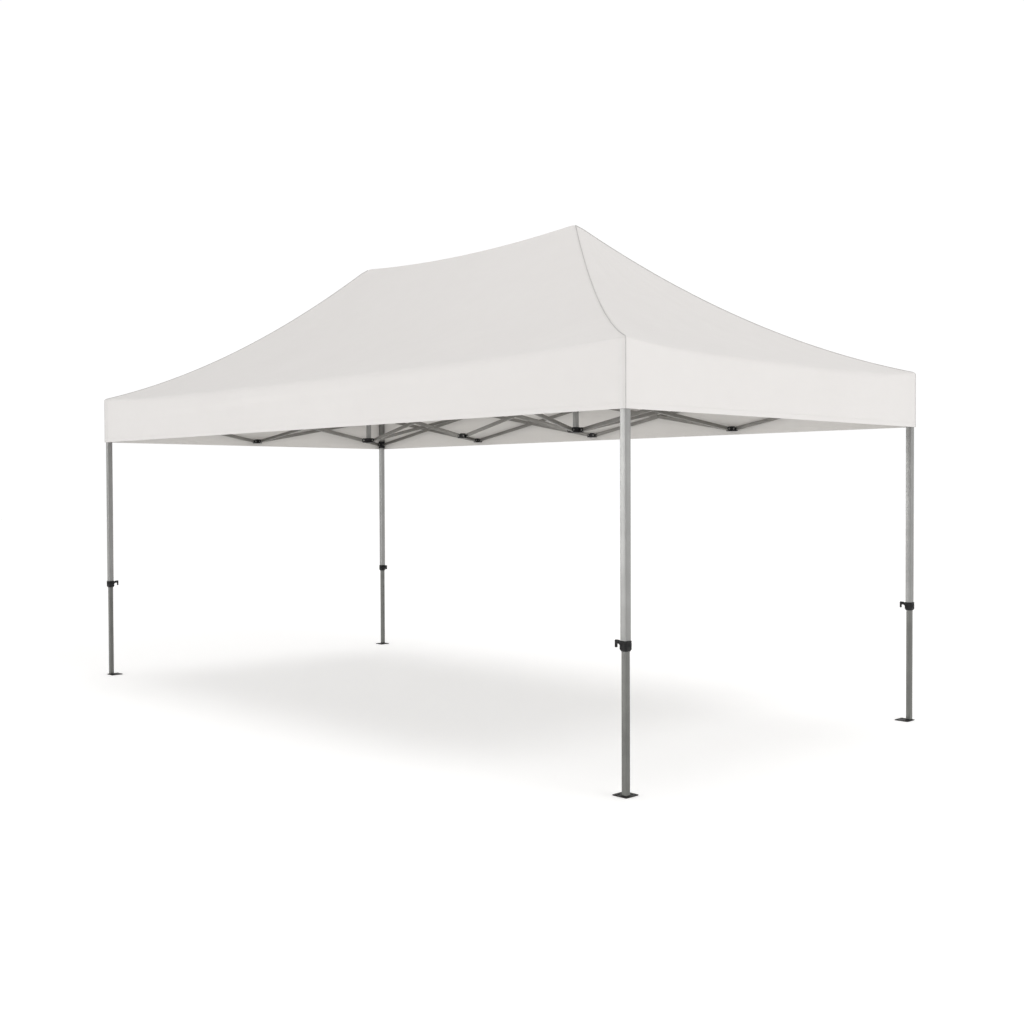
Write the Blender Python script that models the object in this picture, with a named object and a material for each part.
"""Folding marquee of 3 m by 6 m, standing open with its roof and valances on.

Metres, +Z up, origin on the ground under the middle of the tent. The long sides
face -Y (front) and +Y (back), the short sides face -X (left) and +X (right).
"""
from math import atan2, cos, pi, sin

import bpy
from mathutils import Matrix, Vector

# Fit between pieces that touch, and how far a cut runs past what it cuts
GAP = 0.0003
OVERRUN = 0.010

# Scissor frame: bars between pivots, and how far a pivot stands from its bracket's middle
SCISSOR_SPAN = 1.404
LEG_PIVOT = 0.048
MID_PIVOT = 0.028
LUG_PIVOT = 0.046
HUB_PIVOT = 0.056
TOP_PIVOT_Z = 2.310
LOW_PIVOT_Z = 2.055
HUB_TOP_Z = 2.275
HUB_LOW_Z = 2.010
BAR_DEPTH = 0.028
BAR_THICKNESS = 0.012
BAR_PLANE = 0.007
PIVOT_RADIUS = 0.011
PIVOT_BITE = 0.002

# Plan of the legs, worked out from the scissors
LEG_Y = LEG_PIVOT + SCISSOR_SPAN + MID_PIVOT
LEG_X = LEG_PIVOT + 2 * SCISSOR_SPAN + 3 * MID_PIVOT
QUARTER_X = SCISSOR_SPAN + 2 * MID_PIVOT

# Brackets of moulded plastic
FORK_CHEEK = 0.004
FORK_HEIGHT = 0.034
LUG_FORK_START = 0.010
MID_BLOCK_HEIGHT = 0.037
MID_BLOCK_THICKNESS = 0.034
MID_BLOCK_CORNER = 0.010
COLLAR_WALL = 0.0027
SLIDER_HEIGHT = 0.066
HUB_RADIUS = 0.031
HUB_HEIGHT = 0.038
HUB_FORK_START = 0.021
FORK_PIN_RADIUS = 0.004

# Telescopic legs
UPPER_TUBE = 0.040
LOWER_TUBE = 0.032
TUBE_WALL = 0.0016
LOWER_TUBE_TOP = 0.97
BUSH_HEIGHT = 0.020
LEG_CAP_THICKNESS = 0.004
FOOT_SIZE = 0.100
FOOT_THICKNESS = 0.005
FOOT_MARGIN = 0.012
SPIGOT_LENGTH = 0.025
PEG_HOLE_RADIUS = 0.007
PEG_HOLE_PLACE = 0.050

# Leg locks
LOCK_LOW = 0.757
LOCK_HIGH = 0.812
LOCK_SHELF = 0.772
LOCK_SIZE = 0.054
LOCK_CHAMFER = 0.010
LOCK_TAPER = 0.006
LOCK_TAPER_HEIGHT = 0.010
LOCK_CHEEK_BITE = 0.003
LOCK_CHEEK_NOSE = 0.006
LEVER_PIVOT_REACH = 0.038
LEVER_PIVOT_Z = 0.800
LEVER_WIDTH = 0.0154
LEVER_PIN_RADIUS = 0.0025
LEVER_EYE_RADIUS = 0.0065
LEVER_REACH = 0.069
LEVER_GRIP = 0.006
LEVER_ARM_DEPTH = 0.010
LEVER_CORNER = 0.004
LEVER_TOP_Z = 0.813
LEVER_TIP_Z = 0.772

# Centre posts under the two peaks
POST_X = 1.20
POST_TUBE = 0.030
POST_LOW_Z = 1.985
POST_TOP_Z = 3.398
CAP_RADIUS = 0.034
CAP_RIM = 0.004
CAP_CROWN_RADIUS = 0.012
CAP_CROWN_DROP = 1.15

# Canopy
CLOTH = 0.003
EAVE_Z = 2.380
PEAK_Z = 3.450
VALANCE_LOW_Z = 2.010
RIDGE_SAG = 0.050
EAVE_SAG = 0.038
SLOPE_HOLLOW = 0.55
SEAM_GAP = 0.0003
PEAK_TRIM = 0.002
SLOPE_ROWS = 10
FRONT_COLUMNS = 16
END_COLUMNS = 10
BRACKET_HALF = UPPER_TUBE / 2 + GAP + COLLAR_WALL
EDGE_X = LEG_X + BRACKET_HALF + GAP + CLOTH
EDGE_Y = LEG_Y + BRACKET_HALF + GAP + CLOTH

CORNERS = (
    ("front_left", -1, -1, 0.0, pi / 2),
    ("front_right", 1, -1, pi / 2, pi),
    ("back_right", 1, 1, pi, pi),
    ("back_left", -1, 1, -pi / 2, 0.0),
)


def material(name, colour, roughness, metallic=0.0):
    made = bpy.data.materials.new(name)
    made.use_nodes = True
    shader = made.node_tree.nodes["Principled BSDF"]
    shader.inputs["Base Color"].default_value = (*colour, 1.0)
    shader.inputs["Roughness"].default_value = roughness
    shader.inputs["Metallic"].default_value = metallic
    made.diffuse_color = (*colour, 1.0)
    return made


def solid(points, faces):
    """A closed mesh from its points and faces."""
    mesh = bpy.data.meshes.new("solid")
    mesh.from_pydata([tuple(p) for p in points], [], faces)
    mesh.update()
    return mesh


def block(low, high):
    """A box between two corners."""
    x0, y0, z0 = low
    x1, y1, z1 = high
    return slab([(x0, z0), (x1, z0), (x1, z1), (x0, z1)], y0, y1)


def slab(outline, near, far, place=None):
    """An outline in X and Z, drawn anticlockwise as seen from -Y, with its thickness along Y."""
    place = place or Matrix()
    count = len(outline)
    points = [place @ Vector((x, near, z)) for x, z in outline]
    points += [place @ Vector((x, far, z)) for x, z in outline]
    sides = [(i, i + count, (i + 1) % count + count, (i + 1) % count) for i in range(count)]
    caps = [tuple(range(count)), tuple(range(2 * count - 1, count - 1, -1))]
    return solid(points, sides + caps)


def loft(levels):
    """Outlines in X and Y at rising heights, each drawn anticlockwise as seen from above."""
    count = len(levels[0][0])
    points = [(x, y, z) for outline, z in levels for x, y in outline]
    faces = [tuple(range(count - 1, -1, -1))]
    for low in range(0, count * (len(levels) - 1), count):
        for i in range(count):
            j = (i + 1) % count
            faces.append((low + i, low + j, low + j + count, low + i + count))
    faces.append(tuple(range(len(points) - count, len(points))))
    return solid(points, faces)


def column(outline, low, high):
    """One outline in X and Y with its height along Z."""
    return loft([(outline, low), (outline, high)])


def square(size):
    half = size / 2
    return [(-half, -half), (half, -half), (half, half), (-half, half)]


def circle(radius, sides, x=0.0, y=0.0):
    turns = [2 * pi * (i + 0.5) / sides for i in range(sides)]
    return [(x + radius * cos(a), y + radius * sin(a)) for a in turns]


def chamfered(size, cut):
    """A square with its corners cut off."""
    h = size / 2
    k = h - cut
    return [(k, -h), (h, -k), (h, k), (k, h), (-k, h), (-h, k), (-h, -k), (-k, -h)]


def rounded(width, height, radius, steps=3):
    """A rectangle round the origin with round corners."""
    outline = []
    for corner in range(4):
        turn = -pi / 2 + corner * pi / 2
        x = (width / 2 - radius) * (1 if corner in (0, 1) else -1)
        y = (height / 2 - radius) * (1 if corner in (1, 2) else -1)
        for step in range(steps + 1):
            a = turn + pi / 2 * step / steps
            outline.append((x + radius * cos(a), y + radius * sin(a)))
    return outline


def tube(size, wall, low, high):
    """A square tube, open at both ends."""
    outer = square(size)
    inner = square(size - 2 * wall)
    points = [(x, y, z) for z in (low, high) for ring in (outer, inner) for x, y in ring]
    faces = []
    for i in range(4):
        j = (i + 1) % 4
        faces += [(i, j, j + 8, i + 8), (i + 4, i + 12, j + 12, j + 4)]
        faces += [(i, i + 4, j + 4, j), (i + 8, j + 8, j + 12, i + 12)]
    return solid(points, faces)


def show(name, mesh, look, parent=None, location=(0, 0, 0), turn=0.0):
    """One named object, placed under its parent."""
    obj = bpy.data.objects.new(name, mesh)
    bpy.context.scene.collection.objects.link(obj)
    if not mesh.materials:
        mesh.materials.append(look)
    obj.parent = parent
    obj.location = location
    obj.rotation_euler = (0, 0, turn)
    return obj


def fuse(solids, cuts=()):
    """One mesh made of overlapping solids, with the cuts taken out."""
    base = bpy.data.objects.new("base", solids[0])
    bpy.context.scene.collection.objects.link(base)
    groups = []
    for operation, meshes in (("UNION", solids[1:]), ("DIFFERENCE", cuts)):
        if not meshes:
            continue
        group = bpy.data.collections.new("helpers")
        bpy.context.scene.collection.children.link(group)
        groups.append(group)
        for mesh in meshes:
            helper = bpy.data.objects.new("helper", mesh)
            helper.hide_render = True
            helper.display_type = "WIRE"
            group.objects.link(helper)
        step = base.modifiers.new("join", "BOOLEAN")
        step.solver = "EXACT"
        step.operation = operation
        step.operand_type = "COLLECTION"
        step.collection = group
    bpy.context.view_layer.update()
    graph = bpy.context.evaluated_depsgraph_get()
    joined = bpy.data.meshes.new_from_object(base.evaluated_get(graph))
    bpy.data.objects.remove(base)
    for group in groups:
        for helper in list(group.objects):
            bpy.data.objects.remove(helper)
        bpy.data.collections.remove(group)
    return joined


def bar_outline(length):
    """A flat bar's side, with a round end about each of its two pivots."""
    radius = BAR_DEPTH / 2
    outline = []
    for side in (1, -1):
        for step in range(7):
            a = -pi / 2 * side + pi * step / 6
            outline.append((side * length / 2 + radius * cos(a), radius * sin(a)))
    return outline


def bar(start, end, plane):
    """A bar from pivot to pivot, in the plane that lies that far to the left of its run."""
    along = (end - start).normalized()
    left = Vector((-along.y, along.x, 0)).normalized()
    up = along.cross(left)
    place = Matrix((along, left, up)).transposed().to_4x4()
    place.translation = (start + end) / 2 + left * plane
    half = BAR_THICKNESS / 2
    return slab(bar_outline((end - start).length), -half, half, place)


def scissor(start, end, start_z, end_z, side=1):
    """Two crossed bars and their pivot; each z is a low and a top one, the rising bar to a side."""
    rise = Vector((*start, start_z[0])), Vector((*end, end_z[1]))
    fall = Vector((*start, start_z[1])), Vector((*end, end_z[0]))
    rising = bar(*rise, side * BAR_PLANE)
    falling = bar(*fall, -side * BAR_PLANE)
    run = rise[1] - rise[0]
    share = (start_z[1] - start_z[0]) / (start_z[1] - start_z[0] + end_z[1] - end_z[0])
    middle = rise[0].lerp(rise[1], share)
    reach = BAR_PLANE - BAR_THICKNESS / 2 + PIVOT_BITE
    pivot = slab(circle(PIVOT_RADIUS, 12), -reach, reach,
                 Matrix.Translation(middle) @ Matrix.Rotation(atan2(run.y, run.x), 4, "Z"))
    return [rising, falling, pivot]


def fork(centre, heading, plane, start, pivot):
    """Two cheeks that point along the heading and hold a bar's end between them."""
    reach = pivot + BAR_DEPTH / 2
    shoulder = reach - FORK_HEIGHT / 3
    high = FORK_HEIGHT / 2
    slot = BAR_THICKNESS / 2 + GAP
    place = Matrix.Translation(centre) @ Matrix.Rotation(heading, 4, "Z")
    outline = [(start, -high), (shoulder, -high), (reach, -high / 3),
               (reach, high / 3), (shoulder, high), (start, high)]
    cheeks = []
    for side in (1, -1):
        near, far = sorted((plane + side * slot, plane + side * (slot + FORK_CHEEK)))
        cheeks.append(slab(outline, near, far, place))
    return cheeks


def middle_bracket(centre):
    """The block that joins four bars in the middle of a side."""
    outline = rounded(2 * MID_PIVOT + BAR_DEPTH, MID_BLOCK_HEIGHT, MID_BLOCK_CORNER)
    half = MID_BLOCK_THICKNESS / 2
    return slab(outline, -half, half, Matrix.Translation(centre))


def truss(stations, lugs):
    """One side's scissors along X, through its joints from leg to leg, the inside towards +Y."""
    parts = []
    last = len(stations) - 1
    level = (LOW_PIVOT_Z, TOP_PIVOT_Z)
    for number in range(last):
        left = (stations[number] + (LEG_PIVOT if number == 0 else MID_PIVOT), 0)
        right = (stations[number + 1] - (LEG_PIVOT if number + 1 == last else MID_PIVOT), 0)
        if number < last / 2:
            parts += scissor(left, right, level, level)
        else:
            parts += scissor(right, left, level, level, side=-1)
    for station in stations[1:-1]:
        parts += [middle_bracket((station, 0, z)) for z in level]
    for station, heading in lugs:
        for z, plane in ((LOW_PIVOT_Z, BAR_PLANE), (TOP_PIVOT_Z, -BAR_PLANE)):
            parts += fork((station, 0, z), heading, plane, LUG_FORK_START, LUG_PIVOT)
    return fuse(parts)


def eave_height(across):
    """The fold between roof and valance, which hangs a little between its two corners."""
    return EAVE_Z - EAVE_SAG * (1 - across ** 4)


def roof_height(x, y):
    """The upper face of the canopy: sagging eaves and ridge, with hollow slopes between."""
    ridge = PEAK_Z - RIDGE_SAG * (1 - min(abs(x) / POST_X, 1.0) ** 2)
    front = (EDGE_Y - abs(y)) / EDGE_Y
    end = (EDGE_X - abs(x)) / (EDGE_X - POST_X)
    share = min(front, end, 1.0)
    half = EDGE_X - (EDGE_X - POST_X) * share if front < end else EDGE_Y * (1 - share)
    across = min(abs(x if front < end else y) / max(half, GAP), 1.0)
    low = EAVE_Z + (eave_height(across) - EAVE_Z) * (1 - share) ** 2
    rise = share - SLOPE_HOLLOW * share * (1 - share)
    return low + (ridge - low) * rise


def cloth_panel(rows):
    """A closed sheet of cloth under rows of plan points, all rows of the same length."""
    width = len(rows[0])
    flat = [point for row in rows for point in row]
    top = [(x, y, roof_height(x, y)) for x, y in flat]
    under = [(x, y, z - CLOTH) for x, y, z in top]
    count = len(flat)
    faces = []
    for r in range(len(rows) - 1):
        for c in range(width - 1):
            a, b = r * width + c, r * width + c + 1
            d, e = a + width, b + width
            faces += [(a, b, e), (a, e, d)]
            faces += [(count + a, count + e, count + b), (count + a, count + d, count + e)]
    rim = list(range(width))
    rim += [r * width + width - 1 for r in range(1, len(rows))]
    rim += [(len(rows) - 1) * width + c for c in range(width - 2, -1, -1)]
    rim += [r * width for r in range(len(rows) - 2, 0, -1)]
    for i, a in enumerate(rim):
        b = rim[(i + 1) % len(rim)]
        faces.append((a, a + count, b + count, b))
    return solid(top + under, faces)


def slope_shares():
    return [row / SLOPE_ROWS for row in range(SLOPE_ROWS + 1)]


def long_panel():
    """The front slope of the roof, from its eave up to the ridge."""
    run = EDGE_X - POST_X
    hip = (run ** 2 + EDGE_Y ** 2) ** 0.5
    inset = SEAM_GAP / 2 * hip / EDGE_Y
    rows = []
    for share in slope_shares():
        y = -EDGE_Y * (1 - share) - (SEAM_GAP / 2 if share == 1 else 0)
        half = EDGE_X - run * share - inset
        rows.append([(half * (2 * c / FRONT_COLUMNS - 1), y) for c in range(FRONT_COLUMNS + 1)])
    return cloth_panel(rows)


def end_panel():
    """The right slope of the roof, from its eave up to the peak."""
    run = EDGE_X - POST_X
    hip = (run ** 2 + EDGE_Y ** 2) ** 0.5
    inset = SEAM_GAP / 2 * hip / run
    rows = []
    for share in slope_shares():
        x = EDGE_X - run * share + (PEAK_TRIM if share == 1 else 0)
        half = EDGE_Y * (EDGE_X - run * min(share, 1 - PEAK_TRIM / run) - POST_X) / run - inset
        rows.append([(x, half * (2 * c / END_COLUMNS - 1)) for c in range(END_COLUMNS + 1)])
    return cloth_panel(rows)


def fold_height(x, edge, columns):
    """The fold's height at a place along it, on the same straight runs as the roof's lowest row."""
    place = (x / edge + 1) * columns / 2
    first = min(int(place), columns - 1)
    start, end = (eave_height(2 * number / columns - 1) for number in (first, first + 1))
    return start + (end - start) * (place - first)


def valance(edge, reach, columns):
    """A strip of cloth under a fold from -edge to edge, hung from -reach to reach, facing -Y."""
    outline = [(-reach, VALANCE_LOW_Z), (reach, VALANCE_LOW_Z)]
    for number in range(columns, -1, -1):
        x = max(-reach, min(reach, edge * (2 * number / columns - 1)))
        outline.append((x, fold_height(x, edge, columns) - CLOTH - GAP))
    return slab(outline, 0, CLOTH)


def build_canopy(cloth):
    slope = long_panel()
    end = end_panel()
    show("roof_panel_front", slope, cloth)
    show("roof_panel_back", slope, cloth, turn=pi)
    show("roof_panel_right", end, cloth)
    show("roof_panel_left", end, cloth, turn=pi)
    long_strip = valance(EDGE_X, EDGE_X, FRONT_COLUMNS)
    short_strip = valance(EDGE_Y, EDGE_Y - CLOTH - SEAM_GAP, END_COLUMNS)
    show("valance_front", long_strip, cloth, location=(0, -EDGE_Y, 0))
    show("valance_back", long_strip, cloth, location=(0, EDGE_Y, 0), turn=pi)
    show("valance_right", short_strip, cloth, location=(EDGE_X, 0, 0), turn=pi / 2)
    show("valance_left", short_strip, cloth, location=(-EDGE_X, 0, 0), turn=-pi / 2)


def bracket_top():
    """How high a leg's top bracket reaches under the roof, which hangs lower towards mid-side."""
    over_front = roof_height(LEG_X - BRACKET_HALF, LEG_Y + BRACKET_HALF)
    over_side = roof_height(LEG_X + BRACKET_HALF, LEG_Y - BRACKET_HALF)
    return min(over_front, over_side) - CLOTH - GAP


def leg_top_bracket():
    """The closed cap on a leg, with a fork for each of its two sides."""
    high = bracket_top()
    low = TOP_PIVOT_Z - SLIDER_HEIGHT / 2
    parts = [column(square(2 * BRACKET_HALF), low, high)]
    parts += corner_forks(TOP_PIVOT_Z, BAR_PLANE)
    bore = column(square(UPPER_TUBE + 2 * GAP), low - OVERRUN, high - LEG_CAP_THICKNESS)
    return fuse(parts, [bore])


def leg_slider():
    """The collar that slides on a leg when the frame folds, with a fork for each side."""
    low = LOW_PIVOT_Z - SLIDER_HEIGHT / 2
    high = LOW_PIVOT_Z + SLIDER_HEIGHT / 2
    parts = [column(square(2 * BRACKET_HALF), low, high)]
    parts += corner_forks(LOW_PIVOT_Z, -BAR_PLANE)
    bore = column(square(UPPER_TUBE + 2 * GAP), low - OVERRUN, high + OVERRUN)
    return fuse(parts, [bore])


def corner_forks(z, outward):
    """Forks along +X and +Y, their bars' planes that far to the outside of the corner."""
    inner = UPPER_TUBE / 2 + GAP + COLLAR_WALL / 2
    along_x = fork((0, 0, z), 0, -outward, inner, LEG_PIVOT)
    along_y = fork((0, 0, z), pi / 2, outward, inner, LEG_PIVOT)
    return along_x + along_y


def foot_plate():
    """The square foot, its leg near the outer corner, with the leg's spigot and two peg holes."""
    out = -(LOWER_TUBE / 2 + FOOT_MARGIN)
    plate = block((out, out, 0), (out + FOOT_SIZE, out + FOOT_SIZE, FOOT_THICKNESS))
    spigot = column(square(LOWER_TUBE - 2 * TUBE_WALL - 2 * GAP), FOOT_THICKNESS / 2,
                    FOOT_THICKNESS + SPIGOT_LENGTH)
    holes = []
    for x, y in ((PEG_HOLE_PLACE, 0), (0, PEG_HOLE_PLACE)):
        holes.append(column(circle(PEG_HOLE_RADIUS, 12, x, y), -OVERRUN, FOOT_THICKNESS + OVERRUN))
    return fuse([plate, spigot], holes)


def lower_leg():
    """The inner tube, with the bush at its top that runs inside the upper tube."""
    bush = column(square(UPPER_TUBE - 2 * TUBE_WALL - 2 * GAP), LOWER_TUBE_TOP - BUSH_HEIGHT,
                  LOWER_TUBE_TOP)
    stem = column(square(LOWER_TUBE), FOOT_THICKNESS + GAP, LOWER_TUBE_TOP - BUSH_HEIGHT / 2)
    hollow = column(square(LOWER_TUBE - 2 * TUBE_WALL), 0, LOWER_TUBE_TOP + OVERRUN)
    return fuse([stem, bush], [hollow])


def upper_leg():
    return tube(UPPER_TUBE, TUBE_WALL, LOCK_SHELF + GAP, bracket_top() - LEG_CAP_THICKNESS - GAP)


def leg_lock():
    """The clamp at the upper tube's foot, with two cheeks and the lever's pin towards +X."""
    outer = chamfered(LOCK_SIZE, LOCK_CHAMFER)
    narrow = chamfered(LOCK_SIZE - 2 * LOCK_TAPER, LOCK_CHAMFER)
    body = loft([(narrow, LOCK_LOW), (outer, LOCK_LOW + LOCK_TAPER_HEIGHT), (outer, LOCK_HIGH)])
    root = LOCK_SIZE / 2 - LOCK_CHEEK_BITE
    nose = LEVER_PIVOT_REACH + LOCK_CHEEK_NOSE
    shoulder = LEVER_PIVOT_REACH + LOCK_CHEEK_NOSE / 3
    outline = [(root, LEVER_PIVOT_Z - 3 * LOCK_CHEEK_NOSE), (shoulder, LEVER_PIVOT_Z - LOCK_CHEEK_NOSE),
               (nose, LEVER_PIVOT_Z), (shoulder, LEVER_PIVOT_Z + LOCK_CHEEK_NOSE),
               (root, LEVER_PIVOT_Z + 1.5 * LOCK_CHEEK_NOSE)]
    near = LEVER_WIDTH / 2 + GAP
    far = near + FORK_CHEEK
    cheeks = [slab(outline, near, far), slab(outline, -far, -near)]
    reach = near + FORK_CHEEK / 2
    pin = slab(circle(LEVER_PIN_RADIUS, 12, LEVER_PIVOT_REACH, LEVER_PIVOT_Z), -reach, reach)
    cuts = [column(square(LOWER_TUBE + 2 * GAP), LOCK_LOW - OVERRUN, LOCK_HIGH),
            column(square(UPPER_TUBE + 2 * GAP), LOCK_SHELF, LOCK_HIGH + OVERRUN)]
    return fuse([body, *cheeks, pin], cuts)


def lock_lever():
    """The hooked lever about its own pin, which lies on Y through the origin."""
    grip_out = LEVER_REACH - LEVER_PIVOT_REACH
    grip_in = grip_out - LEVER_GRIP
    high = LEVER_TOP_Z - LEVER_PIVOT_Z
    low = LEVER_TIP_Z - LEVER_PIVOT_Z
    under = high - LEVER_ARM_DEPTH
    outline = [(grip_in, low), (grip_out, low), (grip_out, high - LEVER_CORNER),
               (grip_out - LEVER_CORNER, high), (LEVER_CORNER, high - LEVER_CORNER)]
    for step in range(7):
        a = pi * (0.45 + 1.1 * step / 6)
        outline.append((LEVER_EYE_RADIUS * cos(a), LEVER_EYE_RADIUS * sin(a)))
    outline += [(grip_in - LEVER_CORNER, under), (grip_in, under - LEVER_CORNER)]
    half = LEVER_WIDTH / 2
    bore = slab(circle(LEVER_PIN_RADIUS + GAP, 12), -half - OVERRUN, half + OVERRUN)
    return fuse([slab(outline, -half, half)], [bore])


def build_legs(alloy, plastic):
    upper, lower, foot = upper_leg(), lower_leg(), foot_plate()
    top, slider, lock, lever = leg_top_bracket(), leg_slider(), leg_lock(), lock_lever()
    for name, side_x, side_y, turn, lever_turn in CORNERS:
        corner = bpy.data.objects.new("corner_" + name, None)
        bpy.context.scene.collection.objects.link(corner)
        corner.location = (side_x * LEG_X, side_y * LEG_Y, 0)
        show("upper_leg_" + name, upper, alloy, corner)
        show("leg_top_bracket_" + name, top, plastic, corner, turn=turn)
        show("leg_slider_" + name, slider, plastic, corner, turn=turn)
        show("leg_lock_" + name, lock, plastic, corner, turn=lever_turn)
        show("lower_leg_" + name, lower, alloy, corner)
        show("foot_plate_" + name, foot, plastic, corner, turn=turn)
        place = Matrix.Rotation(lever_turn, 4, "Z") @ Vector((LEVER_PIVOT_REACH, 0, LEVER_PIVOT_Z))
        show("lock_lever_" + name, lever, plastic, corner, place, lever_turn)


def lug_heading():
    """How far the bar from a quarter joint to its post leans from the straight way in."""
    return atan2(QUARTER_X - POST_X, LEG_Y)


def build_side_trusses(alloy):
    lean = lug_heading()
    long_stations = (-LEG_X, -QUARTER_X, 0, QUARTER_X, LEG_X)
    short_stations = (-LEG_Y, 0, LEG_Y)
    long_lugs = ((-QUARTER_X, pi / 2 - lean), (QUARTER_X, pi / 2 + lean))
    long_truss = truss(long_stations, long_lugs)
    short_truss = truss(short_stations, ((0, pi / 2),))
    show("side_truss_front", long_truss, alloy, location=(0, -LEG_Y, 0))
    show("side_truss_back", long_truss, alloy, location=(0, LEG_Y, 0), turn=pi)
    show("side_truss_right", short_truss, alloy, location=(LEG_X, 0, 0), turn=pi / 2)
    show("side_truss_left", short_truss, alloy, location=(-LEG_X, 0, 0), turn=-pi / 2)


def hub(z, plane, arms):
    """The bracket round a centre post, with a fork for each arm that leaves it."""
    half = HUB_HEIGHT / 2
    parts = [column(circle(HUB_RADIUS, 16), z - half, z + half)]
    for heading, pinned in arms:
        parts += fork((0, 0, z), heading, plane, HUB_FORK_START, HUB_PIVOT)
        if pinned:
            reach = BAR_THICKNESS / 2 + GAP + FORK_CHEEK / 2
            place = Matrix.Translation((0, 0, z)) @ Matrix.Rotation(heading, 4, "Z")
            pin = circle(FORK_PIN_RADIUS, 8, HUB_PIVOT, 0)
            parts.append(slab(pin, plane - reach, plane + reach, place))
    return parts


def arm(start, start_pivot, heading, end_pivot, run, start_z, end_z):
    """A scissor that leaves a joint at a heading and ends at the joint that lies a run away."""
    way = Vector((cos(heading), sin(heading)))
    first = Vector(start) + way * start_pivot
    second = Vector(start) + way * (run - end_pivot)
    return scissor(first, second, start_z, end_z)


def end_inner_truss():
    """The right post's two hubs and its scissors to the end and to both quarter joints."""
    lean = lug_heading()
    slant = (LEG_Y ** 2 + (QUARTER_X - POST_X) ** 2) ** 0.5
    side_level = (LOW_PIVOT_Z, TOP_PIVOT_Z)
    hub_level = (HUB_LOW_Z, HUB_TOP_Z)
    arms = ((0.0, LEG_X - POST_X), (pi / 2 - lean, slant), (-pi / 2 + lean, slant))
    parts = []
    for heading, run in arms:
        parts += arm((0, 0), HUB_PIVOT, heading, LUG_PIVOT, run, hub_level, side_level)
    forks = [(heading, True) for heading, run in arms] + [(pi, False)]
    parts = hub(HUB_LOW_Z, BAR_PLANE, forks) + parts + hub(HUB_TOP_Z, -BAR_PLANE, forks)
    bore = column(square(POST_TUBE + 2 * GAP), HUB_LOW_Z - HUB_HEIGHT, HUB_TOP_Z + HUB_HEIGHT)
    return fuse(parts, [bore])


def middle_inner_truss():
    """The scissors between the two posts and the bracket where they meet."""
    level = (HUB_LOW_Z, HUB_TOP_Z)
    parts = [middle_bracket((0, 0, z)) for z in level]
    for side in (1, -1):
        parts += scissor((side * (POST_X - HUB_PIVOT), 0), (side * MID_PIVOT, 0), level, level)
    return fuse(parts)


def peak_cap():
    """The plastic crown on a centre post, with the spigot that holds it in the tube."""
    crown = PEAK_Z - CLOTH - GAP - CAP_CROWN_RADIUS * CAP_CROWN_DROP
    base = POST_TOP_Z + GAP
    middle = (CAP_RADIUS + CAP_CROWN_RADIUS) / 2
    profile = [(CAP_RADIUS, base), (CAP_RADIUS, base + CAP_RIM), (middle, (base + CAP_RIM + crown) / 2),
               (CAP_CROWN_RADIUS, crown)]
    dome = loft([(circle(radius, 16), z) for radius, z in profile])
    spigot = column(square(POST_TUBE - 2 * TUBE_WALL - 2 * GAP), base - SPIGOT_LENGTH, base + CAP_RIM)
    return fuse([dome, spigot])


def build_centre(alloy, plastic):
    end_truss = end_inner_truss()
    post = tube(POST_TUBE, TUBE_WALL, POST_LOW_Z, POST_TOP_Z)
    cap = peak_cap()
    for name, side, turn in (("right", 1, 0.0), ("left", -1, pi)):
        place = (side * POST_X, 0, 0)
        show("centre_post_" + name, post, alloy, location=place)
        show("peak_cap_" + name, cap, plastic, location=place)
        show("inner_truss_" + name, end_truss, alloy, location=place, turn=turn)
    show("inner_truss_middle", middle_inner_truss(), alloy)


def main():
    for obj in list(bpy.data.objects):
        bpy.data.objects.remove(obj)
    cloth = material("white_cloth", (0.80, 0.79, 0.77), 0.75)
    alloy = material("grey_alloy", (0.42, 0.42, 0.40), 0.42, 1.0)
    plastic = material("black_plastic", (0.020, 0.020, 0.021), 0.50)
    build_canopy(cloth)
    build_legs(alloy, plastic)
    build_side_trusses(alloy)
    build_centre(alloy, plastic)


main()
